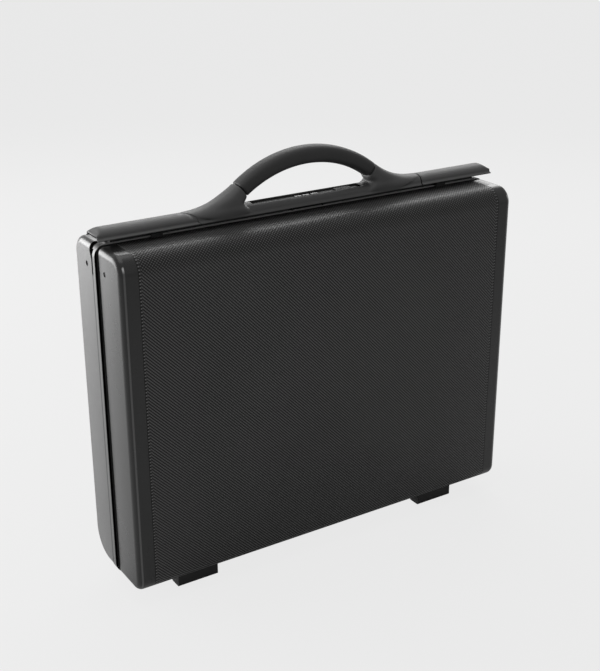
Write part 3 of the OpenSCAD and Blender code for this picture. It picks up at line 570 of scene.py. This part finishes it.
def combine(piece, tool, operation):
    """A Boolean of two bodies. The tool is used up."""
    change = piece.modifiers.new("combine", "BOOLEAN")
    change.operation, change.object, change.solver = operation, tool, "EXACT"
    settle(piece)
    bpy.data.objects.remove(tool)
    return piece


def dress(piece, finish, body, slot_name, *stands_for):
    """Gives a new piece its finish, and says which body it rides on and what it replaces."""
    for face in piece.data.polygons:
        face.use_smooth = True
    piece.data.materials.clear()
    piece.data.materials.append(finish.material)
    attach(piece, body)
    if stands_for:
        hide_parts(*stands_for)
    return piece


print("from rings to a body with", loft.__name__, settle.__name__, combine.__name__)

# %% [markdown]
# The handle's mount is one moulding: the domed rail, out of which two posts grow. Each post is
# a row of rings. Its outer edge falls from the grip to the end of the mount, its inner edge
# curls down into the rail. Lower down the rings reach further inwards and spread to the rail's
# full width, so that the post's front runs on into the rail's front.

# %% Rings of a post
grip_mid, grip_arc, grip_thick, grip_wide = 0.296, 0.1249, 0.016, 0.021
half_angle = math.radians(37.5)
oval_power, oval_points = 0.75, 56
outer_fall, inner_fall, inner_curl = 2.2, 1.5, 1.7
curl_reach, post_belly = 0.038, 0.0024


def on_arc(radius, angle):
    return radius * math.sin(angle), grip_mid + radius * math.cos(angle)


def oval():
    for k in range(oval_points):
        a = 2 * math.pi * k / oval_points
        yield (math.copysign(abs(math.cos(a)) ** oval_power, math.cos(a)),
               math.copysign(abs(math.sin(a)) ** oval_power, math.sin(a)))


def post_ring(t, side):
    """The ring at t, from 0 at the grip to 1 at the rail."""
    out_x, out_z = on_arc(grip_arc + grip_thick / 2, half_angle)
    in_x, in_z = on_arc(grip_arc - grip_thick / 2, half_angle)
    end_z, foot_z = rail_high + 0.0002, rail_low + 0.001
    outer = (mix(out_x, mount_half + 0.001, t),
             end_z + (out_z - end_z) * (1 - t) ** outer_fall)
    inner = (mix(in_x, in_x + curl_reach, t ** inner_curl),
             foot_z + (in_z - foot_z) * (1 - t) ** inner_fall)
    reach_in = ease((t - 0.22) / 0.35) * 0.9
    inner = tuple(i + (i - o) * reach_in for i, o in zip(inner, outer))
    middle = [(o + i) / 2 for o, i in zip(outer, inner)]
    half = [(o - i) / 2 for o, i in zip(outer, inner)]
    width = mix(grip_wide / 2, dome_half - 0.0004, t) + post_belly * math.sin(math.pi * t)
    ring = []
    for u, v in oval():
        z = middle[1] + half[1] * u
        spread = 1 + 0.2 * ease((rail_high + 0.003 - z) / 0.012) * ease((t - 0.1) / 0.3)
        ring.append((side * (middle[0] + half[0] * u), v * min(width * spread, rail_half), z))
    return ring


print("post's first ring", len(post_ring(0.0, 1)), "points")

# %% [markdown]
# The mount could be modelled with subdivision, but the join between a round post and a ridged
# rail is hard to draw with four-sided faces. Here both are plain closed bodies that overlap.
# A voxel remesh turns them into one skin, and smoothing lets the join flow as it does in
# plastic. The sharp cuts are made after that, so the rail starts with a little to spare.

# %% One skin
spare = 0.004
rail = rail_section(low=rail_low - spare)
mount_shape = loft("mount_shape", body_along(rail, -mount_half - spare, mount_half + spare, 120))
for side in (-1, 1):
    combine(mount_shape, loft("post", [post_ring(i / 36, side) for i in range(37)]), "UNION")
flow = mount_shape.modifiers.new("flow", "REMESH")
flow.mode, flow.voxel_size = "VOXEL", 0.0007
even = mount_shape.modifiers.new("even", "SMOOTH")
even.factor, even.iterations = 0.5, 12
settle(mount_shape)
print("mount skin", len(mount_shape.data.polygons), "faces")

# %% [markdown]
# Now the sharp work: the lower edge and the slanted ends, the hollow inside and the recess for
# the lock. Seen from above, the left end slants more than the right one.

# %% Cuts in the mount
wide = rail_half + 0.006
slant_left, slant_right = 0.013, 0.002
recess_x, recess_y, recess_deep = 0.065, 0.0065, 0.0046
mount_wall, hollow_half = 0.0018, 0.15
above_rail, above_handle = 0.4, 0.45


def prism(name, plan, low, high):
    return loft(name, [[(x, y, low) for x, y in plan], [(x, y, high) for x, y in plan]])


plan = [(-mount_half, wide), (-mount_half, 0), (-mount_half + slant_left, -rail_half),
        (-mount_half + slant_left, -wide), (mount_half - slant_right, -wide),
        (mount_half - slant_right, -rail_half), (mount_half, 0), (mount_half, wide)]
combine(mount_shape, prism("plan", plan, rail_low, above_handle), "INTERSECT")
hollow = body_along(rail_section(mount_wall, rail_low - 0.002), -hollow_half, hollow_half)
combine(mount_shape, loft("hollow", hollow), "DIFFERENCE")
recess = [(x * recess_x, y * recess_y) for x, y in ((-1, -1), (1, -1), (1, 1), (-1, 1))]
combine(mount_shape, prism("recess", recess, rail_high - recess_deep, above_rail), "DIFFERENCE")
mount_shell = dress(mount_shape, mount, "base", "lever", "handle_mount")
mount_shell.name = "mount_shell"
print("mount shell", len(mount_shell.data.polygons), "faces")

# %% [markdown]
# Each latch lever is a thin shell with the rail's section. Towards its outer end the dome rolls
# down to a little less than half its height, and there it stays open, so one looks into a dark
# hollow past a thin edge. The packed lever carries the claw and the knuckle inside this shell,
# and it is painted near black, as painted shade in that hollow. The shell stops short of the
# mount, which leaves the dark joint line over the near-black packed lever.

# %% Lever shells
lever_tip, roll_length, joint_line = 0.2302, 0.016, 0.0012
lever_wall, lever_proud = 0.001, 0.00015
tip_height, tip_slope, tip_curve, tip_power = 0.0039, 0.5, 65, 8


def lever_ring(x, side):
    """The section at x, with its height held under a ceiling that rises away from the tip."""
    run = lever_tip - x
    ceiling = tip_height + tip_slope * run + tip_curve * run * run
    toe_level, toe_high = rail_low + toe_up, 0.0005

    def held(z, top):
        rise = z - toe_level
        if rise < toe_high:
            return z
        return toe_level + (rise ** -tip_power + top ** -tip_power) ** (-1 / tip_power)

    outer = [(y, held(z, ceiling)) for y, z in rail_section(-lever_proud)]
    inner = [(y, held(z, ceiling - lever_wall)) for y, z in rail_section(lever_wall, rail_low)]
    return [(side * x, y, z) for y, z in outer + list(reversed(inner))]


def lever_shell(name, side, slant, body):
    runs = [mount_half - slant - spare + 0.008 * i for i in range(11)]
    runs += [lever_tip - roll_length * (1 - i / 24) for i in range(25)]
    piece = loft(name, [lever_ring(x, side) for x in runs])
    start, past_tip = mount_half + joint_line, 0.25
    half_plan = [(start, wide), (start, 0), (start - slant, -rail_half), (start - slant, -wide),
                 (past_tip, -wide), (past_tip, wide)]
    lever_plan = [(side * x, y) for x, y in half_plan]
    combine(piece, prism("lever_plan", lever_plan, rail_low - 0.01, above_rail), "INTERSECT")
    return dress(piece, levers, body, "lever")


for end, side, slant in (("left", -1, slant_left), ("right", 1, slant_right)):
    shell = lever_shell("lever_shell_" + end, side, slant, "latch_" + end)
    print(shell.name, len(shell.data.polygons), "faces")

# %% [markdown]
# The grip is the post's oval carried along an arc, a little fuller in the middle. Its ends are
# drawn in, so a thin dark line shows where sleeve and plastic meet.

# %% Grip
grip_sag, grip_swell = 0.0005, 0.0009


def grip_ring(angle, inset):
    full = 1 - (angle / half_angle) ** 2
    middle = grip_arc - grip_sag * full
    half_thick = grip_thick / 2 + grip_swell * full - inset
    ring = []
    for u, v in oval():
        x, z = on_arc(middle + half_thick * u, angle)
        ring.append((x, (grip_wide / 2 - inset) * v, z))
    return ring


drawn_in = [(0.0, 0.0026), (0.0010, 0.0024), (0.0012, 0.0006), (0.0018, 0.0)]
turns = [(-half_angle + run / grip_arc, inset) for run, inset in drawn_in]
turns += [(mix(turns[-1][0], -turns[-1][0], i / 70), 0.0) for i in range(1, 70)]
turns += [(-angle, inset) for angle, inset in reversed(turns[:4])]
sleeve = loft("grip_sleeve", [grip_ring(angle, inset) for angle, inset in turns])
dress(sleeve, grip, "base", "grip", "handle_grip")
print("grip rings", len(turns))

# %% [markdown]
# Plain figures from 0 to 9 stand on the ten flats of each dial. Each figure is drawn with
# Blender's own letters, turned into a mesh, and moved to its own flat.

# %% Figures on the dials
dial_radius, dial_pitch = 0.0048, 0.0095
dial_height = rail_high - 0.0068
figure_size, figure_proud = 0.0034, 0.00003
flat_out = dial_radius * math.cos(math.radians(18)) + figure_proud


def gather(name, pieces):
    """Joins several pieces into one and removes the parts."""
    mesh = bmesh.new()
    for piece in pieces:
        mesh.from_mesh(piece.data)
        bpy.data.objects.remove(piece)
    return piece_from(mesh, name)


def figure(digit, x, angle):
    drawn = bpy.data.curves.new("figure", "FONT")
    drawn.body, drawn.size, drawn.extrude = str(digit), figure_size, figure_proud
    drawn.align_x, drawn.align_y = "CENTER", "CENTER"
    outline = bpy.data.objects.new("figure", drawn)
    bpy.context.scene.collection.objects.link(outline)
    depsgraph = bpy.context.evaluated_depsgraph_get()
    made = bpy.data.meshes.new_from_object(outline.evaluated_get(depsgraph))
    bpy.data.objects.remove(outline)
    made.transform(Matrix.Translation((x, 0, dial_height)) @ Matrix.Rotation(angle, 4, "X")
                   @ Matrix.Translation((0, 0, flat_out)))
    return bpy.data.objects.new("figure", made)


for i in range(3):
    row = [figure(n, (i - 1) * dial_pitch, math.radians(36 * n)) for n in range(10)]
    marks = gather("dial_%d_figures" % (i + 1), row)
    marks.data.materials.append(figures.material)
    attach(marks, "dial_%d" % (i + 1))
print("figures at height", round(dial_height, 4))

# %% [markdown]
# A sheet of cloth starts as a grid of points and gets its thickness from a modifier. Cloth
# could be simulated, but here every sheet is glued or sewn down nearly flat, so small moves of
# the points give the same waves and dents.


# %% Sheets of cloth
def cloth_sheet(name, rows, finish, body, slot_name, thick=0.0008):
    mesh = bmesh.new()
    grid = [[mesh.verts.new(p) for p in row] for row in rows]
    for a, b in zip(grid, grid[1:]):
        for i in range(len(a) - 1):
            mesh.faces.new((a[i], a[i + 1], b[i + 1], b[i]))
    bmesh.ops.remove_doubles(mesh, verts=mesh.verts, dist=1e-6)
    piece = piece_from(mesh, name)
    body_of_cloth = piece.modifiers.new("thick", "SOLIDIFY")
    body_of_cloth.thickness, body_of_cloth.offset = thick, 0.0
    return dress(settle(piece), finish, body, slot_name)


print("cloth is 0.8 mm thick where nothing else is said")

# %% [markdown]
# Stitches and piping follow paths. A tube of rings runs along the path, and the rings are set
# up against the direction in which the path is flattest, so they never twist at a corner. Each
# stitch is a small bead of its own, with a gap before the next. The thread is pale, so it shows.

# %% Stitches and piping
thread = moulded("sewing_thread", 0.3, 0.7, 0.00004)
thread_radius = 0.0004
bead_shape = ((0.0, 0.3), (0.12, 0.9), (0.35, 1.0), (0.58, 0.9), (0.7, 0.3))


def tube_rings(path, radii, points):
    spans = [max(p[k] for p in path) - min(p[k] for p in path) for k in range(3)]
    flat_way = Vector([1.0 if k == spans.index(min(spans)) else 0.0 for k in range(3)])
    rings = []
    for i, p in enumerate(path):
        ahead = (path[min(i + 1, len(path) - 1)] - path[max(i - 1, 0)]).normalized()
        side = ahead.cross(flat_way).normalized()
        lift = ahead.cross(side)
        rings.append([p + radii[i] * (side * math.cos(a) + lift * math.sin(a))
                      for a in (2 * math.pi * k / points for k in range(points))])
    return rings


def along(path, step):
    """Points at even distances on a path."""
    made, left = [path[0]], step
    for a, b in zip(path, path[1:]):
        run = (b - a).length
        while run >= left > 0:
            a = a + (b - a) * (left / run)
            run, left = run - left, step
            made.append(a)
        left -= run
    return made


def stitches(name, paths, body, step=0.0038):
    radii = [thread_radius * r for _, r in bead_shape]
    beads = []
    for path in paths:
        marks = along([Vector(p) for p in path], step)
        for a, b in zip(marks, marks[1:]):
            line = [a + (b - a) * t for t, _ in bead_shape]
            beads.append(loft("bead", tube_rings(line, radii, 6)))
    return dress(gather(name, beads), thread, body, "pocket")


def piping(name, path, radius, body, slot_name):
    line = along([Vector(p) for p in path], 0.004)
    tube = loft(name, tube_rings(line, [radius] * len(line), 10))
    return dress(tube, pocket_cloth, body, slot_name)


print("thread", thread.material.name)

# %% [markdown]
# A pocket is one sheet sewn to the organiser's board along its sides and foot. It stands off
# the board in a low crown, because papers have stretched it, and its mouth has a folded hem.
# Slow noise gives it shallow dents, and short puckers run down from the hem.

# %% Pockets
board_face, sheet_gap = -0.0430, 0.0006
file_half, file_tall, file_foot, file_deep = 0.188, 0.196, 0.0406, 0.0076
card_wide, card_tall, card_deep = 0.096, 0.056, 0.0038
card_foot = file_foot + file_tall + 0.014
hem_wide, hem_lift, hem_thick = 0.012, 0.0005, 0.0006
seam_in, seam_lift, mouth_in, mouth_lift = 0.003, 0.0006, 0.002, 0.0010
fullness, dent_pace, dent_place, dent_share, pucker_share = 0.86, 22, 3.7, 0.06, 0.03


def length(points):
    return sum((Vector(b) - Vector(a)).length for a, b in zip(points, points[1:]))


def pocket(name, x0, x1, z0, z1, deep, folds):
    def at(s, h, lift=0.0):
        crown = (max(0.0, 1 - abs(2 * s - 1) ** 2.6)) ** 0.8
        rise = ease(h / 0.4) * (1 - 0.25 * ease((h - 0.6) / 0.4))
        x, z = mix(x0, x1, s), mix(z0, z1, h)
        spot = Vector((x * dent_pace, dent_place, z * dent_pace))
        dents = noise.noise(spot) * dent_share * rise * crown
        wrinkle = math.sin(s * folds * 2 * math.pi) * pucker_share
        puckers = wrinkle * ease((h - 0.55) / 0.45) * crown
        out = deep * max(0.0, crown * rise * fullness + dents + puckers)
        return (x, board_face + sheet_gap + out + lift, z)

    wide_steps, tall_steps = 72, 48
    tall = z1 - z0
    rows = [[at(i / wide_steps, j / tall_steps) for i in range(wide_steps + 1)]
            for j in range(tall_steps + 1)]
    front = cloth_sheet(name, rows, pocket_cloth, "lid", "pocket")
    hem_low = 1 - hem_wide / tall
    band = [[at(i / wide_steps, mix(hem_low, 1.0, j / 3), hem_lift) for i in range(wide_steps + 1)]
            for j in range(4)]
    hem = cloth_sheet(name + "_hem", band, pocket_cloth, "lid", "pocket", hem_thick)
    in_s, in_h = seam_in / (x1 - x0), seam_in / tall
    sides = [[at(s, mix(in_h, 1.0, j / 60), seam_lift) for j in range(61)]
             for s in (in_s, 1 - in_s)]
    foot = [at(mix(in_s, 1 - in_s, i / 90), in_h, seam_lift) for i in range(91)]
    mouth = [at(i / 90, hem_low + mouth_in / tall, mouth_lift) for i in range(91)]
    seams = stitches(name + "_seams", sides + [foot, mouth], "lid")
    return front


file_front = pocket("file_pocket_cloth", -file_half, file_half,
                    file_foot, file_foot + file_tall, file_deep, folds=9)
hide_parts("file_pocket")
for end, x0 in (("left", -0.150), ("right", -0.040)):
    card_front = pocket("card_pocket_" + end, x0, x0 + card_wide,
                        card_foot, card_foot + card_tall, card_deep, folds=3)
    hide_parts("card_pockets")
print("pockets at", board_face)

# %% [markdown]
# Each pen loop is a strip of elastic bent into an arch, with a foot on each side. A row of short
# stitches runs down each foot and holds it to the board.

# %% Pen loops
loop_low, loop_tall, loop_round = 0.2606, 0.026, 0.0058
loop_start, loop_apart, loop_foot = 0.096, 0.022, 0.0036
tack_end, tack_in, tack_step = 0.002, 0.0012, 0.0026


def loop_path(x):
    flat = board_face + sheet_gap
    arc = [(x + loop_round * math.sin(a), flat + loop_round - loop_round * math.cos(a))
           for a in (math.radians(v) for v in range(30, 331, 10))]
    return [(arc[0][0] + loop_foot, flat)] + arc + [(arc[-1][0] - loop_foot, flat)]


for i in range(3):
    line = loop_path(loop_start + loop_apart * i)
    rows = [[(x, y, mix(loop_low, loop_low + loop_tall, j / 8)) for x, y in line] for j in range(9)]
    strip = cloth_sheet("pen_loop_%d" % (i + 1), rows, pocket_cloth, "lid", "pocket")
    heights = (loop_low + tack_end, loop_low + loop_tall - tack_end)
    tack_lines = [[(x, line[0][1] + seam_lift, z) for z in heights]
                  for x in (line[0][0] - tack_in, line[-1][0] + tack_in)]
    tacks = stitches("pen_loop_%d_tacks" % (i + 1), tack_lines, "lid", tack_step)
    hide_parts("pen_loops")

# %% [markdown]
# The board's edge is bound with a thin piping, and a seam runs just inside it. The seam is the
# same path, drawn a little closer to the board's middle.

# %% The board's edge
board_half, board_low, board_high, board_round = 0.202, 0.0366, 0.3348, 0.008
board_middle = (board_low + board_high) / 2
edge_round, seam_across, seam_upward = 0.0009, 0.985, 0.984
corners = [(board_half, board_high, 0), (-board_half, board_high, 90),
           (-board_half, board_low, 180), (board_half, board_low, 270)]
edge_path = []
for x, z, first_angle in corners:
    cx = x - math.copysign(board_round, x)
    cz = z - math.copysign(board_round, z - board_middle)
    for a in (math.radians(first_angle + v) for v in range(0, 91, 15)):
        edge_path.append((cx + board_round * math.cos(a), board_face - 0.0003,
                          cz + board_round * math.sin(a)))
edge_path.append(edge_path[0])
piping("board_piping", edge_path, edge_round, "lid", "board")
inner_path = [(x * seam_across, board_face + 0.0002,
               board_middle + (z - board_middle) * seam_upward) for x, _, z in edge_path]
stitches("board_seam", [inner_path], "lid")
print("board's edge", round(length(edge_path), 3))

# %% [markdown]
# Each half has a lining of thin cloth: one panel wraps the top, the face and the bottom, and
# an end panel closes each side, with a piping in the seam. The panel's outline is the shell's
# own, one inset further in. Glued cloth is never quite flat, so the sheet is moved a little by
# a slow noise.

# %% The lining's outline
lining_inset, lining_wall, corner_deep = 0.0067, 0.2211, 0.03


def lining_lines(low_bend, rim):
    """The points under the top, over the bottom and all round, as depth and height, and the
    size of an end panel."""
    deep = half_depth - lining_inset
    high, low = case_top - lining_inset, case_bottom + lining_inset

    def drop(y, radius):
        over = max(0.0, y - (deep - radius))
        return radius - math.sqrt(max(0.0, radius * radius - over * over))

    depths = [mix(rim, deep - corner_deep, i / 4) for i in range(4)]
    depths += [deep - corner_deep + corner_deep * math.sin(math.pi / 2 * i / 14) for i in range(15)]
    over = [(y, high - drop(y, top_bend - lining_inset)) for y in depths]
    under = [(y, low + drop(y, low_bend - lining_inset)) for y in depths]
    face = [(deep, mix(over[-1][1], under[-1][1], i / 24)) for i in range(1, 24)]
    return over, under, over + face + list(reversed(under)), (deep - rim, high - low)


print("lining", lining_inset, "inside the shell")

# %% [markdown]
# The end panels have a hole for the stay's stud. Their cut isn't a rectangle, so their flat
# area is added up between the upper and the lower line. Each half's rim is the depth at which
# its lining starts, beside the frame.

# %% Linings
hole_radius = 0.0049
piping_in, piping_round = 0.0008, 0.0010
wave_across, wave_along_depth, wave_high = 14, 30, 0.00035
lid_rim, base_rim = 0.0075, 0.0071
lid_stud, base_stud = (0.0165, 0.057), (0.0175, 0.053)


def lining(name, side, low_bend, rim, body, node, stud):
    over, under, line, end_size = lining_lines(low_bend, rim)

    def soft(x, y, z):
        spot = Vector((x * wave_across, y * wave_along_depth + side, z * wave_across))
        wave = noise.noise(spot) * wave_high
        return (x * (1 - abs(wave) * 2), side * (y - abs(wave)), z)

    rows = [[soft(mix(-lining_wall, lining_wall, i / 60), y, z) for i in range(61)]
            for y, z in line]
    wrap = cloth_sheet(name, rows, lining_cloth, body, "cloth")
    for end, x in (("_left", -lining_wall), ("_right", lining_wall)):
        grid = [[soft(x, y, mix(a, b, j / 30)) for j in range(31)]
                for (y, a), (_, b) in zip(over, under)]
        piece = cloth_sheet(name + end, grid, lining_cloth, body, "cloth")
        ring = [(side * stud[0] + hole_radius * math.cos(a), stud[1] + hole_radius * math.sin(a))
                for a in (2 * math.pi * k / 32 for k in range(32))]
        hole = loft("hole", body_along(ring, x - 0.004, x + 0.004))
        combine(piece, hole, "DIFFERENCE")
    for i, x in enumerate((-lining_wall + piping_in, lining_wall - piping_in)):
        corner = [(x, side * y, z) for y, z in line]
        piping(name + "_piping_%d" % i, corner, piping_round, body, "cloth")
    run = sum(math.dist(a, b) for a, b in zip(line, line[1:]))
    end_area = sum((b[0] - a[0]) * ((a[1] + b[1]) / 2 - (c[1] + d[1]) / 2)
                   for a, b, c, d in zip(over, over[1:], under, under[1:]))
    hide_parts(node)
    return run


lid_run = lining("lid_lining_cloth", -1, lid_low_bend, lid_rim, "lid", "lid_lining", lid_stud)
base_run = lining("base_lining_cloth", 1, base_low_bend, base_rim, "base", "base_lining", base_stud)
print("lining panels", round(lid_run, 3), round(base_run, 3))

# %% [markdown]
# Three large soft lamps light the case. One to the left and behind gives the caps their grey
# sides, one overhead gives the handle its long highlight, and one to the right and behind draws
# the bright band along the top bend.


# %% Lamps
def lamp(name, place, toward, size, power):
    light = bpy.data.lights.new(name, "AREA")
    light.shape, light.size, light.size_y, light.energy = "RECTANGLE", *size, power
    made = bpy.data.objects.new(name, light)
    made.location = place
    made.rotation_euler = (Vector(toward) - Vector(place)).to_track_quat("-Z", "Y").to_euler()
    made.visible_camera = False
    bpy.context.scene.collection.objects.link(made)


case_middle = (0, 0, 0.2)
lamp("left_window", (-1.2, 1.2, 0.45), case_middle, (1.8, 0.9), 48)
lamp("overhead", (-0.2, 0.1, 1.9), case_middle, (1.6, 1.2), 13)
lamp("behind_right", (0.85, 1.2, 1.15), case_middle, (1.6, 0.8), 20)
print("lamps", len(bpy.data.lights))

# %% [markdown]
# The studio is a pale floor in a pale surround. What the camera and the gloss see of it is the
# paper's full brightness, while the light that it sends to the case stays lower, so the case
# isn't washed out and the floor keeps a faint shadow.

# %% Surround and floor
paper, surround_light, floor_reach = 0.831, 0.5, 6.0
world = bpy.data.worlds.new("surround")
bpy.context.scene.world = world
world.use_nodes = True
sky = Net(world.node_tree)
rays = sky.node("ShaderNodeLightPath",
                out=("Is Camera Ray", "Is Glossy Ray", "Is Transmission Ray"))
seen = (rays[0] + rays[1] + rays[2]).clamped()
glow = sky.node("ShaderNodeBackground", Color=(1, 1, 1, 1),
                Strength=seen * (paper - surround_light) + surround_light)
sky.show(glow, "ShaderNodeOutputWorld")

floor_mesh = bpy.data.meshes.new("floor")
floor_mesh.from_pydata([(x * floor_reach, y * floor_reach, 0)
                        for x, y in ((-1, -1), (1, -1), (1, 1), (-1, 1))], [], [(0, 1, 2, 3)])
floor = bpy.data.objects.new("floor", floor_mesh)
bpy.context.scene.collection.objects.link(floor)
ground = Finish("floor_paper", grey(0.8), 0.9)
plain = ground.node("ShaderNodeEmission", Color=(*grey(paper), 1))
for_camera = ground.node("ShaderNodeLightPath", out="Is Camera Ray") * 0.95
ground.show(ground.node("ShaderNodeMixShader", i0=for_camera, i1=ground.shader, i2=plain))
floor_mesh.materials.append(ground.material)
print("floor", 2 * floor_reach, "m wide")
